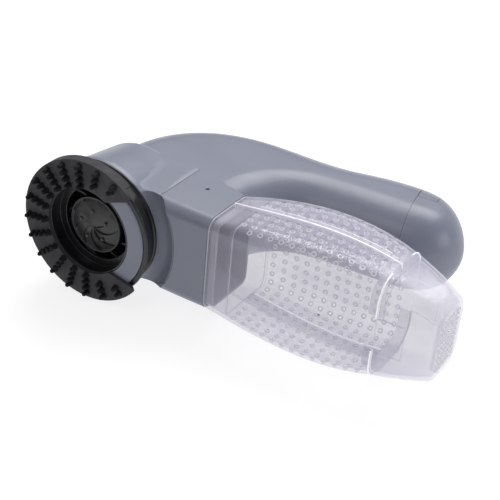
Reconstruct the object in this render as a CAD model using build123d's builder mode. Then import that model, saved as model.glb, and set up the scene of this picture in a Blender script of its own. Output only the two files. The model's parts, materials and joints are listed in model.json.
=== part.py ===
from build123d import *

import os
from math import cos, radians, sin

os.makedirs("parts", exist_ok=True)

# ---------------------------------------------------------------------------
# Driving dimensions in mm.
# The cleaner lies on its side. Z crosses its plane of symmetry, the suction
# mouth faces -Y, the clear bin and the battery handle both run towards +X.
# ---------------------------------------------------------------------------
mid_z = 40.0  # height of the plane of symmetry
head_x = -76.0  # axis of the round head, parallel to Y

# Levels along the head axis, from the pad back to the motor.
pad_face_y = -64.0
ring_face_y = -62.0
ring_back_y = -59.0
cup_floor_y = -54.0
skirt_front_y = -57.6
skirt_waist_y = -51.6
rim_y = -50.0
impeller_back_y = -42.0
bulkhead_y = -38.0
motor_front_y = -35.5
motor_back_y = -6.5
parting_y = -9.0  # parting plane between head and handle, at the head axis
parting_slope = 0.095  # the parting plane comes forward towards the bin

# Rubber pad and nozzle.
pad_outer_r = 40.0
pad_inner_r = 24.6
pad_turn = 5.0  # the pad is turned about the head axis by this angle
bristle_rows = 15
bristle_row_pitch = 17.6
bristle_radii = (26.1, 29.8, 33.4, 37.0)
bristle_height = 4.0
bristle_base_r = 1.5
ring_outer_r = 34.6
skirt_r = 37.5
mouth_r = 24.2
cup_lip_r = 25.4
cup_inner_r = 24.8
cup_outer_r = 26.0
grid_r = 20.5
cup_back_y = -52.6
rim_r = 35.0

# Head drum and the block that carries the bin.
drum_front_r = 34.0
drum_r = 30.6
drum_round = 8.0
drum_back_y = 4.0
rim_thickness = 3.0
volute_r = 26.5
motor_room_r = 28.0
block_half_width = 27.0
block_near_y = -53.2
trough_depth = 3.2
seam_r = 48.0  # front seam of the bin collar, about the head axis
side_seam_x = -43.0  # where that seam crosses the flat sides
collar_end_x = -9.0
spigot_length = 4.5
bin_start_x = -8.2
seal_inset = 0.6
spigot_inset = 2.1
duct_inset = 3.6

# Block and the duct inside it: x, near side y, far side y, half width, near and far corner radii.
block_sections = [
    (head_x, block_near_y, -4.0, block_half_width, 10.0, 1.0),
    (-41.0, block_near_y, -10.5, block_half_width, 7.0, 1.5),
]
duct_sections = [
    (-45.0, -42.5, -15.5, 22.4, 3.0, 3.0),
    (-36.0, -42.5, -16.2, 22.4, 3.0, 3.0),
    (-24.0, -48.0, -17.6, 23.0, 3.0, 3.0),
]

# Fan and motor.
spinner_r = 16.0
spinner_edge_y = -55.0
spinner_crown_y = -57.6
hub_front_y = -53.4
hub_r = 4.0
rib_count = 9
rib_height = 0.45
impeller_r = 25.0
blade_depth = 9.0
shaft_r = 1.0
bush_r = 3.0
running_gap = 0.03
can_r = 12.0
can_inner_r = 11.2
motor_screw_places = [(7.5, 0), (-7.5, 0)]

# Handle and battery compartment.
handle_wall = 2.4
cap_wall = 2.1
lip_inset = 4.2
seam_tilt = 10.0  # the battery cap's seam plane leans by this angle
cap_seam = (61.0, 34.0)  # a point of the seam in plan
cell_r = 7.25
cell_length = 50.5
cell_pitch = 15.4
cell_tilt = 7.0
cell_origin = (3.5, 34.0)
contact_thickness = 0.8
latch_place = (17.5, 24.0)  # the battery cap's latch, in the seam plane
latch_size = (17.0, 30.0)
latch_length = 11.0

# Bin: x, near side y, far side y, half width, corner radius.
bin_sections = [
    (bin_start_x, block_near_y, -15.6, block_half_width, 6.5),
    (16.0, -54.5, -7.0, 30.2, 8.0),
    (49.0, -54.9, -3.5, 32.8, 10.5),
    (86.0, -51.5, -6.5, 28.8, 12.0),
]
cap_sections = [
    (86.0, -51.5, -6.5, 28.8, 12.0),
    (102.0, -50.2, -11.0, 25.2, 12.5),
    (116.0, -48.0, -16.5, 20.5, 11.5),
]
bin_wall = 1.8
bin_seam_y = -29.5
bin_rib_x = 3.6
bin_rib_width = 1.2
bin_rib_height = 1.6
bin_lip_thickness = 1.1
bin_lip_reach = 6.0
fit_gap = 0.3

# End cap: its plug into the bin, its two latches and the grille in its end face.
cap_start_x = cap_sections[0][0]
cap_end_x = cap_sections[-1][0]
lip_reach = 5.0
lip_length = 8.0
tab_length = 15.0
tab_half_width = 9.5
grille_place = (-32.25, mid_z)
grille_size = (22.5, 31.5)
grille_round = 6.5
grille_pitch = 3.0
grille_hole_r = 0.8

parting = Plane(
    origin=(head_x, parting_y, mid_z), x_dir=(1, -parting_slope, 0), z_dir=(parting_slope, 1, 0)
)
head_axis = Axis((head_x, 0, mid_z), (0, 1, 0))


def back_plane(y):
    """The plane across the head axis at y, facing the handle: extrusions go towards +Y."""
    return Plane(origin=(head_x, y, mid_z), x_dir=(1, 0, 0), z_dir=(0, 1, 0))


def mouth_plane(y):
    """The plane across the head axis at y, facing out of the mouth: extrusions go towards -Y."""
    return Plane(origin=(head_x, y, mid_z), x_dir=(1, 0, 0), z_dir=(0, -1, 0))


def tilted_plane(point, tilt):
    """A plane across the battery arm: local X points outwards, its normal along the arm."""
    along = (cos(radians(tilt)), sin(radians(tilt)), 0)
    return Plane(origin=(point[0], point[1], mid_z), x_dir=(-along[1], along[0], 0), z_dir=along)


def ring_profile(points):
    """A closed outline of (radius, y) points beside the head axis, ready to revolve."""
    with BuildSketch(Plane.XY.offset(mid_z)) as profile:
        with BuildLine():
            Polyline(*[(head_x + r, y) for r, y in points], close=True)
        make_face()
    return profile.sketch


def polar(radius, angle):
    """The point at a radius and an angle in degrees."""
    return (radius * cos(radians(angle)), radius * sin(radians(angle)))


def rounded_box_section(x, near, far, half_width, near_round, far_round):
    """A rounded rectangle across X, with its own corner radius on the near and the far side."""
    with BuildSketch(Plane.YZ.offset(x)) as section:
        with Locations(((near + far) / 2, mid_z)):
            Rectangle(far - near, 2 * half_width)
        fillet(section.vertices().group_by(Axis.X)[0], near_round)
        fillet(section.vertices().group_by(Axis.X)[-1], far_round)
    return section.sketch


def section_face(section, x, inset=0.0):
    """One of the bin's cross-sections, drawn at x and narrowed all round by an inset."""
    _, near, far, half_width, corner = section
    return rounded_box_section(
        x, near + inset, far - inset, half_width - inset, corner - inset, corner - inset
    )


def bin_faces(sections, inset=0.0):
    """The bin's cross-sections, or with an inset those of the space inside its wall."""
    return [section_face(section, section[0], inset) for section in sections]


# Handle sections fan round the crotch of the finger gap and then run down the arm:
# inner point, outer point, half width, corner radius.
handle_sections = [
    ((-8.7, -20.0), (-99.5, -20.0), 24.5, 20.0),
    ((-8.5, -10.0), (-98.5, -5.0), 24.5, 20.0),
    ((-6.5, -4.0), (-92.5, 19.0), 24.5, 20.5),
    ((-3.0, 1.0), (-75.0, 40.5), 24.5, 21.0),
    ((1.5, 5.0), (-47.0, 53.0), 24.5, 21.5),
    ((8.0, 8.0), (-14.0, 57.0), 24.5, 22.0),
    ((18.0, 10.3), (13.0, 59.4), 24.5, 22.0),
    ((34.0, 11.8), (29.5, 63.5), 24.5, 22.0),
    ((50.0, 12.8), (44.0, 66.3), 24.5, 22.0),
    ((64.0, 14.0), (56.0, 67.0), 24.5, 22.0),
    ((76.0, 17.0), (68.0, 65.0), 23.5, 21.0),
    ((85.0, 24.0), (80.0, 57.5), 18.5, 16.0),
    ((90.0, 33.5), (88.5, 47.0), 8.5, 6.7),
]
dome_tip = ((90.9, 38.5), (90.5, 42.5), 2.6, 1.9)


def handle_faces(inset=0.0):
    """The handle's cross-sections, or with an inset those of the space inside its wall."""
    sections = handle_sections if inset else handle_sections + [dome_tip]
    faces = []
    for inner, outer, half_width, corner in sections:
        across = Vector(*outer) - Vector(*inner)
        middle = (Vector(*outer) + Vector(*inner)) / 2
        plane = Plane(
            origin=(middle.X, middle.Y, mid_z), x_dir=across, z_dir=(across.Y, -across.X, 0)
        )
        with BuildSketch(plane) as section:
            RectangleRounded(
                across.length - 2 * inset, 2 * (half_width - inset), corner - inset
            )
        faces.append(section.sketch)
    return faces


def save(builder, name):
    """Labels a finished piece and writes it."""
    builder.part.label = name
    export_step(builder.part, f"parts/{name}.step")


cap_plane = tilted_plane(cap_seam, seam_tilt)

# ---------------------------------------------------------------------------
# Shared forms, from which the casing pieces are cut.
# ---------------------------------------------------------------------------
with BuildPart() as drum_form:
    with BuildSketch(Plane.XY.offset(mid_z)):
        with BuildLine():
            Polyline(
                (head_x, drum_back_y),
                (head_x, rim_y),
                (head_x + rim_r, rim_y),
                (head_x + rim_r, rim_y + rim_thickness),
                (head_x + drum_front_r, rim_y + rim_thickness + 1.0),
                (head_x + drum_r, parting_y - drum_round),
            )
            RadiusArc(
                (head_x + drum_r, parting_y - drum_round),
                (head_x + drum_r - drum_round, parting_y),
                -drum_round,
            )
            Polyline(
                (head_x + drum_r - drum_round, parting_y),
                (head_x + drum_r - drum_round, drum_back_y),
                (head_x, drum_back_y),
            )
        make_face()
    revolve(axis=head_axis)

with BuildPart() as block_form:
    loft(
        [rounded_box_section(*section) for section in block_sections]
        + [section_face(bin_sections[0], collar_end_x)]
    )

# Air duct from the fan chamber to the bin's mouth, inside the block.
with BuildPart() as duct_form:
    loft(
        [rounded_box_section(*section) for section in duct_sections]
        + [section_face(bin_sections[0], collar_end_x, duct_inset)],
        ruled=True,
    )

# Everything beyond the collar's front seam: an arc about the head axis on the near
# face that runs out forwards on the flat sides.
with BuildPart() as beyond_seam:
    with BuildSketch(Plane.XZ):
        with BuildLine():
            arc_x, arc_z = polar(seam_r, 24)
            low, high = (head_x + arc_x, mid_z - arc_z), (head_x + arc_x, mid_z + arc_z)
            ThreePointArc(low, (head_x + seam_r, mid_z), high)
            Polyline(
                high,
                (side_seam_x, mid_z + 28),
                (side_seam_x, 90),
                (60, 90),
                (60, -10),
                (side_seam_x, -10),
                (side_seam_x, mid_z - 28),
                low,
            )
        make_face()
    extrude(amount=80, both=True)

# Space in front of the flat nozzle seat and of the trough that runs round it in the block.
with BuildPart() as trough_form:
    with BuildSketch(Plane.XY.offset(mid_z)):
        with BuildLine():
            trough_edge = (head_x + seam_r - 0.6, block_near_y)
            Polyline((head_x, -60), (head_x, rim_y), (head_x + rim_r, rim_y))
            ThreePointArc(
                (head_x + rim_r, rim_y),
                (head_x + rim_r + 5.0, rim_y + trough_depth),
                trough_edge,
            )
            Polyline(trough_edge, (head_x + seam_r - 0.6, -60), (head_x, -60))
        make_face()
    revolve(axis=head_axis)

with BuildPart() as handle_form:
    loft(handle_faces())

with BuildPart() as handle_space:
    loft(handle_faces(handle_wall))

# ---------------------------------------------------------------------------
# Head casing.
# ---------------------------------------------------------------------------
with BuildPart() as front_housing:
    add(drum_form.part)
    add(block_form.part)
    split(bisect_by=parting, keep=Keep.BOTTOM)
    add(beyond_seam.part, mode=Mode.SUBTRACT)
    add(trough_form.part, mode=Mode.SUBTRACT)
    # Fan chamber, motor room behind it, and the way into the duct.
    with BuildSketch(back_plane(rim_y)):
        Circle(volute_r)
    extrude(amount=bulkhead_y - rim_y, mode=Mode.SUBTRACT)
    with BuildSketch(back_plane(bulkhead_y)):
        Circle(motor_room_r)
    extrude(amount=50, mode=Mode.SUBTRACT)
    with BuildSketch(Plane.YZ.offset(-60)):
        with Locations((-43.25, mid_z)):
            Rectangle(8.5, 36)
    extrude(amount=17, mode=Mode.SUBTRACT)
    add(duct_form.part, mode=Mode.SUBTRACT)
save(front_housing, "front_housing")

with BuildPart() as bin_collar:
    add(block_form.part)
    split(bisect_by=parting, keep=Keep.BOTTOM)
    add(beyond_seam.part, mode=Mode.INTERSECT)
    add(trough_form.part, mode=Mode.SUBTRACT)
    add(duct_form.part, mode=Mode.SUBTRACT)
    # Spigot that plugs into the bin's mouth.
    extrude(section_face(bin_sections[0], collar_end_x, spigot_inset), amount=spigot_length)
    extrude(
        section_face(bin_sections[0], collar_end_x, duct_inset),
        amount=spigot_length,
        mode=Mode.SUBTRACT,
    )
    # Snap holes in both flat sides.
    with BuildSketch(Plane.XY):
        with Locations((-27, -26.5)):
            Circle(1.1)
    extrude(amount=100, mode=Mode.SUBTRACT)
save(bin_collar, "bin_collar")

with BuildPart() as bin_seal:
    seal_thickness = bin_start_x - collar_end_x
    extrude(section_face(bin_sections[0], collar_end_x, seal_inset), amount=seal_thickness)
    extrude(
        section_face(bin_sections[0], collar_end_x, spigot_inset),
        amount=seal_thickness,
        mode=Mode.SUBTRACT,
    )
save(bin_seal, "bin_seal")

# ---------------------------------------------------------------------------
# Nozzle and rubber pad.
# ---------------------------------------------------------------------------
with BuildPart() as nozzle_ring:
    with BuildSketch(mouth_plane(ring_back_y)):
        Circle(ring_outer_r)
        Circle(cup_lip_r, mode=Mode.SUBTRACT)
    extrude(amount=ring_back_y - ring_face_y)
    fillet(nozzle_ring.edges().group_by(Axis.Y)[0].sort_by(SortBy.RADIUS)[-1], 1.0)
save(nozzle_ring, "nozzle_ring")

with BuildPart() as nozzle_skirt:
    add(
        ring_profile(
            [
                (cup_outer_r, ring_back_y),
                (ring_outer_r + 0.2, ring_back_y),
                (ring_outer_r + 0.2, ring_face_y + 0.8),
                (skirt_r - 0.8, ring_face_y + 0.8),
                (skirt_r, ring_face_y + 1.6),
                (34.4, skirt_waist_y),
                (35.4, skirt_waist_y + 0.3),
                (35.4, rim_y),
                (cup_outer_r + 1, rim_y),
                (cup_outer_r + 1, skirt_waist_y),
                (32.3, skirt_waist_y),
                (34.9, skirt_front_y),
                (cup_outer_r, skirt_front_y),
            ]
        )
    )
    revolve(axis=head_axis)
save(nozzle_skirt, "nozzle_skirt")

with BuildPart() as throat_cup:
    add(
        ring_profile(
            [
                (cup_inner_r, ring_back_y),
                (mouth_r, ring_back_y),
                (mouth_r, ring_face_y),
                (cup_lip_r, ring_face_y),
                (cup_lip_r, ring_back_y),
                (cup_outer_r, ring_back_y),
                (cup_outer_r, cup_back_y),
                (grid_r, cup_back_y),
                (grid_r, cup_floor_y),
                (cup_inner_r, cup_floor_y),
            ]
        )
    )
    revolve(axis=head_axis)
save(throat_cup, "throat_cup")

with BuildPart() as bristle_pad:
    with BuildSketch(mouth_plane(ring_face_y)) as pad_outline:
        Circle(pad_outer_r)
        Circle(pad_inner_r, mode=Mode.SUBTRACT)
        with BuildLine():
            Polyline(
                polar(20, 69 + pad_turn),
                polar(46, 36 + pad_turn),
                (90, 0),
                polar(46, -37 + pad_turn),
                polar(20, -69 + pad_turn),
                close=True,
            )
        make_face(mode=Mode.SUBTRACT)
        fillet(pad_outline.vertices(), 2.5)
    extrude(amount=ring_face_y - pad_face_y)
    # Outer rim that wraps over the skirt's edge.
    with BuildSketch(mouth_plane(ring_face_y)) as rim_outline:
        Circle(pad_outer_r)
        Circle(skirt_r + 0.5, mode=Mode.SUBTRACT)
        with BuildLine():
            Polyline(
                (0, 0),
                polar(60, 50 + pad_turn),
                (90, 0),
                polar(60, -50 + pad_turn),
                close=True,
            )
        make_face(mode=Mode.SUBTRACT)
    extrude(amount=-4)
save(bristle_pad, "bristle_pad")

with BuildPart() as pad_bristles:
    with BuildSketch(mouth_plane(pad_face_y)):
        for row in range(bristle_rows):
            from_end = min(row, bristle_rows - 1 - row)
            shown = bristle_radii[max(0, 2 - from_end):]
            angle = 180 + pad_turn + (row - (bristle_rows - 1) / 2) * bristle_row_pitch
            with Locations(*[polar(radius, angle) for radius in shown]):
                Circle(bristle_base_r)
    extrude(amount=bristle_height, taper=7)
save(pad_bristles, "pad_bristles")

# ---------------------------------------------------------------------------
# Fan, shaft and motor.
# ---------------------------------------------------------------------------
def dome_profile(edge_r, back_y, raised=0.0):
    """Half outline of the spinner's shallow dome, with its front raised by a given height."""
    return ring_profile(
        [
            (0, back_y),
            (edge_r, back_y),
            (edge_r, spinner_edge_y - raised),
            (10.0, spinner_crown_y + 0.9 - raised),
            (3.4, spinner_crown_y - raised),
            (0, spinner_crown_y - raised),
        ]
    )


with BuildPart() as rib_space:
    add(dome_profile(spinner_r + 1, hub_front_y, rib_height))
    revolve(axis=head_axis)

with BuildPart() as spinner_ribs:
    with BuildSketch(mouth_plane(hub_front_y - 0.6)):
        for rib in range(rib_count):
            turn = rib * 360 / rib_count
            with BuildLine():
                ThreePointArc(polar(4.2, turn), polar(9.0, turn + 14), polar(15.2, turn + 44))
            trace(line_width=0.8)
    extrude(amount=10)
    add(rib_space.part, mode=Mode.INTERSECT)

with BuildPart() as spinner_cap:
    add(dome_profile(spinner_r, hub_front_y))
    revolve(axis=head_axis)
    add(spinner_ribs.part)
save(spinner_cap, "spinner_cap")

with BuildPart() as impeller:
    with BuildSketch(back_plane(impeller_back_y)):
        Circle(impeller_r)
        Circle(shaft_r, mode=Mode.SUBTRACT)
    extrude(amount=1.5)
    with BuildSketch(back_plane(impeller_back_y)):
        for blade in range(rib_count):
            turn = blade * 360 / rib_count
            with BuildLine():
                ThreePointArc(
                    polar(9.0, turn), polar(17.0, turn - 12), polar(impeller_r - 0.5, turn - 36)
                )
            trace(line_width=1.0)
    extrude(amount=-blade_depth)
    with BuildSketch(back_plane(hub_front_y)):
        Circle(hub_r)
        Circle(shaft_r, mode=Mode.SUBTRACT)
    extrude(amount=impeller_back_y - hub_front_y + 0.6)
save(impeller, "impeller")

with BuildPart() as motor_shaft:
    with BuildSketch(back_plane(hub_front_y)):
        Circle(shaft_r)
    extrude(amount=51.0)
save(motor_shaft, "motor_shaft")

with BuildPart() as motor_rotor:
    with BuildSketch(back_plane(-30.5)) as rotor_outline:
        Circle(9.2)
        with PolarLocations(8.0, 5):
            Rectangle(4.0, 1.6, mode=Mode.SUBTRACT)
        Circle(shaft_r, mode=Mode.SUBTRACT)
    extrude(amount=16)
    with BuildSketch(back_plane(-14.5)):
        Circle(3.0)
        Circle(shaft_r, mode=Mode.SUBTRACT)
    extrude(amount=5)
save(motor_rotor, "motor_rotor")

with BuildPart() as motor_magnet:
    with BuildSketch(back_plane(-32.0)):
        Circle(can_inner_r)
        Circle(9.7, mode=Mode.SUBTRACT)
    extrude(amount=19)
save(motor_magnet, "motor_magnet")

with BuildPart() as motor_can:
    with BuildSketch(back_plane(motor_front_y)):
        Circle(can_r)
        Circle(bush_r, mode=Mode.SUBTRACT)
    extrude(amount=motor_back_y - motor_front_y)
    with BuildSketch(back_plane(motor_front_y + 1.5)):
        Circle(can_inner_r)
    extrude(amount=40, mode=Mode.SUBTRACT)
    with BuildSketch(back_plane(motor_front_y)):
        with Locations(*motor_screw_places):
            Circle(1.0)
    extrude(amount=1.5, mode=Mode.SUBTRACT)
save(motor_can, "motor_can")

with BuildPart() as motor_end_bell:
    with BuildSketch(back_plane(motor_back_y - 2.0)):
        Circle(can_inner_r)
        Circle(bush_r, mode=Mode.SUBTRACT)
    extrude(amount=2.0)
    with BuildSketch(back_plane(motor_back_y)):
        Circle(can_r)
        Circle(bush_r, mode=Mode.SUBTRACT)
    extrude(amount=1.5)
    with BuildSketch(back_plane(motor_back_y + 1.5)):
        with Locations((0, 8), (0, -8)):
            Rectangle(3.0, 0.6)
    extrude(amount=4.0)
save(motor_end_bell, "motor_end_bell")

for name, start, length in (("front_bush", -37.0, 3.2), ("rear_bush", -8.5, 3.8)):
    with BuildPart() as bush:
        with BuildSketch(back_plane(start)):
            Circle(bush_r)
            Circle(shaft_r + running_gap, mode=Mode.SUBTRACT)
        extrude(amount=length)
    save(bush, name)

with BuildPart() as motor_bulkhead:
    with BuildSketch(back_plane(bulkhead_y)):
        Circle(motor_room_r)
        Circle(bush_r, mode=Mode.SUBTRACT)
        with Locations(*motor_screw_places):
            Circle(1.3, mode=Mode.SUBTRACT)
    extrude(amount=motor_front_y - bulkhead_y)
    # Collar that grips the motor can.
    with BuildSketch(back_plane(motor_front_y)):
        Circle(can_r + 2)
        Circle(can_r, mode=Mode.SUBTRACT)
    extrude(amount=10)
save(motor_bulkhead, "motor_bulkhead")

with BuildPart() as motor_screws:
    with BuildSketch(back_plane(bulkhead_y - 1.6)):
        with Locations(*motor_screw_places):
            Circle(2.2)
    extrude(amount=1.6)
    with BuildSketch(back_plane(bulkhead_y)):
        with Locations(*motor_screw_places):
            Circle(1.0)
    extrude(amount=3.9)
    with BuildSketch(back_plane(bulkhead_y - 1.6)):
        with Locations(*motor_screw_places):
            Rectangle(2.6, 0.6)
            Rectangle(0.6, 2.6)
    extrude(amount=0.8, mode=Mode.SUBTRACT)
save(motor_screws, "motor_screws")

# ---------------------------------------------------------------------------
# Handle shells, split on the plane of symmetry.
# ---------------------------------------------------------------------------
screw_places = [(-84.0, 14.0), (-56.0, 34.0), (-10.0, 15.0), (-6.0, 44.0)]
screw_r = 1.25
boss_r = 4.6
counterbore_r = 3.0
screw_seat_z = 31.0
pilot_top_z = 50.0

# The switch sits on the outer side of the bend, where the thumb rests.
switch_tilt = 7.0
switch_plane = Plane(
    origin=(-30.0, 55.5, mid_z),
    x_dir=(cos(radians(switch_tilt)), sin(radians(switch_tilt)), 0),
    z_dir=(-sin(radians(switch_tilt)), cos(radians(switch_tilt)), 0),
)
switch_travel = 5.0
pocket_depth = 1.6

with BuildPart() as inside_lip:
    loft(handle_faces(lip_inset))

with BuildPart() as arm_lip:
    add(handle_space.part)
    add(inside_lip.part, mode=Mode.SUBTRACT)
    split(bisect_by=cap_plane.offset(5), keep=Keep.BOTTOM)
    split(bisect_by=cap_plane.offset(-6), keep=Keep.TOP)
    # Room for the cap's latch to flex.
    with BuildSketch(cap_plane.offset(-1)):
        with Locations(latch_place):
            Rectangle(latch_size[0] + 2.5, latch_size[1])
    extrude(amount=10, mode=Mode.SUBTRACT)

with BuildPart() as handle_walls:
    add(handle_form.part)
    add(handle_space.part, mode=Mode.SUBTRACT)
    split(bisect_by=cap_plane, keep=Keep.BOTTOM)
    add(arm_lip.part)
    split(bisect_by=parting, keep=Keep.TOP)
    # Flat-bottomed pocket and window for the switch knob.
    with BuildSketch(switch_plane.offset(-pocket_depth)):
        RectangleRounded(20, 11, 2.5)
    extrude(amount=10, mode=Mode.SUBTRACT)
    with BuildSketch(switch_plane.offset(-8)):
        Rectangle(12.4, 4.6)
    extrude(amount=10, mode=Mode.SUBTRACT)

with BuildPart() as boss_columns:
    with BuildSketch(Plane.XY.offset(mid_z - 24)):
        with Locations(*screw_places):
            Circle(boss_r)
    extrude(amount=48)
    add(handle_form.part, mode=Mode.INTERSECT)

with BuildPart() as handle_upper:
    add(handle_walls.part)
    add(boss_columns.part)
    split(bisect_by=Plane.XY.offset(mid_z), keep=Keep.TOP)
    with BuildSketch(Plane.XY.offset(mid_z)):
        with Locations(*screw_places):
            Circle(screw_r)
    extrude(amount=pilot_top_z - mid_z, mode=Mode.SUBTRACT)
save(handle_upper, "handle_upper")

with BuildPart() as handle_lower:
    add(handle_walls.part)
    add(boss_columns.part)
    split(bisect_by=Plane.XY.offset(mid_z), keep=Keep.BOTTOM)
    with BuildSketch(Plane.XY):
        with Locations(*screw_places):
            Circle(counterbore_r)
    extrude(amount=screw_seat_z, mode=Mode.SUBTRACT)
    with BuildSketch(Plane.XY):
        with Locations(*screw_places):
            Circle(screw_r)
    extrude(amount=60, mode=Mode.SUBTRACT)
save(handle_lower, "handle_lower")

with BuildPart() as housing_screws:
    with BuildSketch(Plane.XY.offset(screw_seat_z - 2)):
        with Locations(*screw_places):
            Circle(2.7)
    extrude(amount=2)
    with BuildSketch(Plane.XY.offset(screw_seat_z)):
        with Locations(*screw_places):
            Circle(screw_r)
    extrude(amount=18)
    with BuildSketch(Plane.XY.offset(screw_seat_z - 2)):
        with Locations(*screw_places):
            Rectangle(3.2, 0.7)
            Rectangle(0.7, 3.2)
    extrude(amount=0.9, mode=Mode.SUBTRACT)
save(housing_screws, "housing_screws")

# ---------------------------------------------------------------------------
# Slide switch.
# ---------------------------------------------------------------------------
knob_x = -switch_travel / 2  # the knob rests at the off end
with BuildPart() as switch_knob:
    with BuildSketch(switch_plane.offset(-pocket_depth + fit_gap)):
        with Locations((knob_x, 0)):
            RectangleRounded(13, 9.6, 2.2)
    extrude(amount=3.2)
    with BuildSketch(switch_plane.offset(-7.0)):
        with Locations((knob_x, 0)):
            Rectangle(6.0, 4.0)
    extrude(amount=7.0 - pocket_depth + fit_gap)
    with BuildSketch(switch_plane.offset(1.0)):
        with Locations(*[(knob_x + place, 0) for place in (-4, -2, 0, 2, 4)]):
            Rectangle(0.9, 7.5)
    extrude(amount=1.4)
save(switch_knob, "switch_knob")

with BuildPart() as switch_case:
    with BuildSketch(switch_plane.offset(-10.5)):
        Rectangle(18, 8)
    extrude(amount=6.4)
    with BuildSketch(switch_plane.offset(-7.6)):
        Rectangle(12.4, 4.6)
    extrude(amount=10, mode=Mode.SUBTRACT)
save(switch_case, "switch_case")

# ---------------------------------------------------------------------------
# Batteries and contacts.
# ---------------------------------------------------------------------------
cells_plane = tilted_plane(cell_origin, cell_tilt)
half_pitch = cell_pitch / 2
cell_places = [(across, up) for across in (-half_pitch, half_pitch) for up in (-half_pitch, half_pitch)]
spring_space = 3.2
cells_start = contact_thickness + spring_space
nipple_height = 1.2
plate_start = cells_start + cell_length + fit_gap

for number, place in enumerate(cell_places, start=1):
    with BuildPart() as cell:
        with BuildSketch(cells_plane.offset(cells_start)):
            with Locations(place):
                Circle(cell_r)
        extrude(amount=cell_length - nipple_height)
        with BuildSketch(cells_plane.offset(cells_start + cell_length - nipple_height)):
            with Locations(place):
                Circle(2.7)
        extrude(amount=nipple_height)
    save(cell, f"battery_cell_{number}")

with BuildPart() as battery_tray:
    with BuildSketch(cells_plane.offset(cells_start)):
        RectangleRounded(33, 33, 6)
        with Locations(*cell_places):
            Circle(cell_r + 0.15, mode=Mode.SUBTRACT)
    extrude(amount=cell_length - 4)
save(battery_tray, "battery_tray")

with BuildPart() as front_contact_plate:
    with BuildSketch(cells_plane):
        RectangleRounded(31, 31, 6)
    extrude(amount=contact_thickness)
save(front_contact_plate, "front_contact_plate")

with BuildPart() as contact_springs:
    for turn in range(3):
        with BuildSketch(cells_plane.offset(contact_thickness + turn * spring_space / 3)):
            with Locations(*cell_places):
                Circle(3.6 - 0.6 * turn)
                Circle(2.2 - 0.6 * turn, mode=Mode.SUBTRACT)
        extrude(amount=spring_space / 3)
save(contact_springs, "contact_springs")

with BuildPart() as cap_contact_plate:
    with BuildSketch(cells_plane.offset(plate_start)):
        RectangleRounded(31, 31, 6)
    extrude(amount=contact_thickness)
save(cap_contact_plate, "cap_contact_plate")

# ---------------------------------------------------------------------------
# Battery cap and its latch.
# ---------------------------------------------------------------------------
with BuildPart() as cap_space:
    loft(handle_faces(cap_wall))

with BuildPart() as cap_shell:
    add(handle_form.part)
    add(cap_space.part, mode=Mode.SUBTRACT)
    split(bisect_by=cap_plane, keep=Keep.TOP)

with BuildPart() as battery_cap:
    add(cap_shell.part)
    with BuildSketch(cap_plane):
        with Locations(latch_place):
            Rectangle(*latch_size)
    extrude(amount=latch_length, mode=Mode.SUBTRACT)
    # Post behind the contact plate.
    with BuildSketch(cells_plane.offset(plate_start + contact_thickness)):
        Circle(5)
    extrude(amount=34)
    add(handle_form.part, mode=Mode.INTERSECT)
save(battery_cap, "battery_cap")

with BuildPart() as battery_cap_latch:
    add(cap_shell.part)
    with BuildSketch(cap_plane.offset(fit_gap)):
        with Locations(latch_place):
            Rectangle(latch_size[0] - 2 * fit_gap, latch_size[1])
    extrude(amount=latch_length - 2 * fit_gap, mode=Mode.INTERSECT)
save(battery_cap_latch, "battery_cap_latch")

# ---------------------------------------------------------------------------
# Clear hair bin, made as a near and a far shell.
# ---------------------------------------------------------------------------
with BuildPart() as bin_walls:
    loft(bin_faces(bin_sections))
    loft(bin_faces(bin_sections, bin_wall), mode=Mode.SUBTRACT)

with BuildPart() as bin_rib:
    loft(bin_faces(bin_sections, bin_wall))
    loft(bin_faces(bin_sections, bin_wall + bin_rib_height), mode=Mode.SUBTRACT)
    split(bisect_by=Plane.YZ.offset(bin_rib_x), keep=Keep.TOP)
    split(bisect_by=Plane.YZ.offset(bin_rib_x + bin_rib_width), keep=Keep.BOTTOM)

# Inner lip on the near shell's edge, which reaches past the seam into the far shell.
with BuildPart() as bin_lip:
    loft(bin_faces(bin_sections, bin_wall))
    loft(bin_faces(bin_sections, bin_wall + bin_lip_thickness), mode=Mode.SUBTRACT)
    split(bisect_by=Plane.XZ.offset(-bin_seam_y + 1.0), keep=Keep.BOTTOM)
    split(bisect_by=Plane.XZ.offset(-bin_seam_y - bin_lip_reach), keep=Keep.TOP)
    split(bisect_by=Plane.YZ.offset(bin_rib_x), keep=Keep.TOP)
    split(bisect_by=Plane.YZ.offset(cap_start_x - lip_reach - 1.0), keep=Keep.BOTTOM)

seam_plane = Plane.XZ.offset(-bin_seam_y)
with BuildPart() as bin_near_shell:
    add(bin_walls.part)
    add(bin_rib.part)
    split(bisect_by=seam_plane, keep=Keep.TOP)
    add(bin_lip.part)
save(bin_near_shell, "bin_near_shell")

with BuildPart() as bin_far_shell:
    add(bin_walls.part)
    add(bin_rib.part)
    split(bisect_by=seam_plane, keep=Keep.BOTTOM)
    add(bin_lip.part, mode=Mode.SUBTRACT)
save(bin_far_shell, "bin_far_shell")

# ---------------------------------------------------------------------------
# Clear end cap with a squeeze latch on its near and its far side.
# ---------------------------------------------------------------------------
inner_cap_sections = cap_sections[:-1] + [(cap_end_x - bin_wall,) + cap_sections[-1][1:]]

with BuildPart() as end_shell:
    loft(bin_faces(cap_sections))
    fillet(end_shell.faces().sort_by(Axis.X)[-1].edges(), 4.0)
    loft(bin_faces(inner_cap_sections, bin_wall), mode=Mode.SUBTRACT)

cap_near_y, cap_far_y = cap_sections[0][1:3]
cap_y = (cap_near_y + cap_far_y) / 2
lip_outer = bin_wall + fit_gap
lip_inner = lip_outer + 1.4

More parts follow.
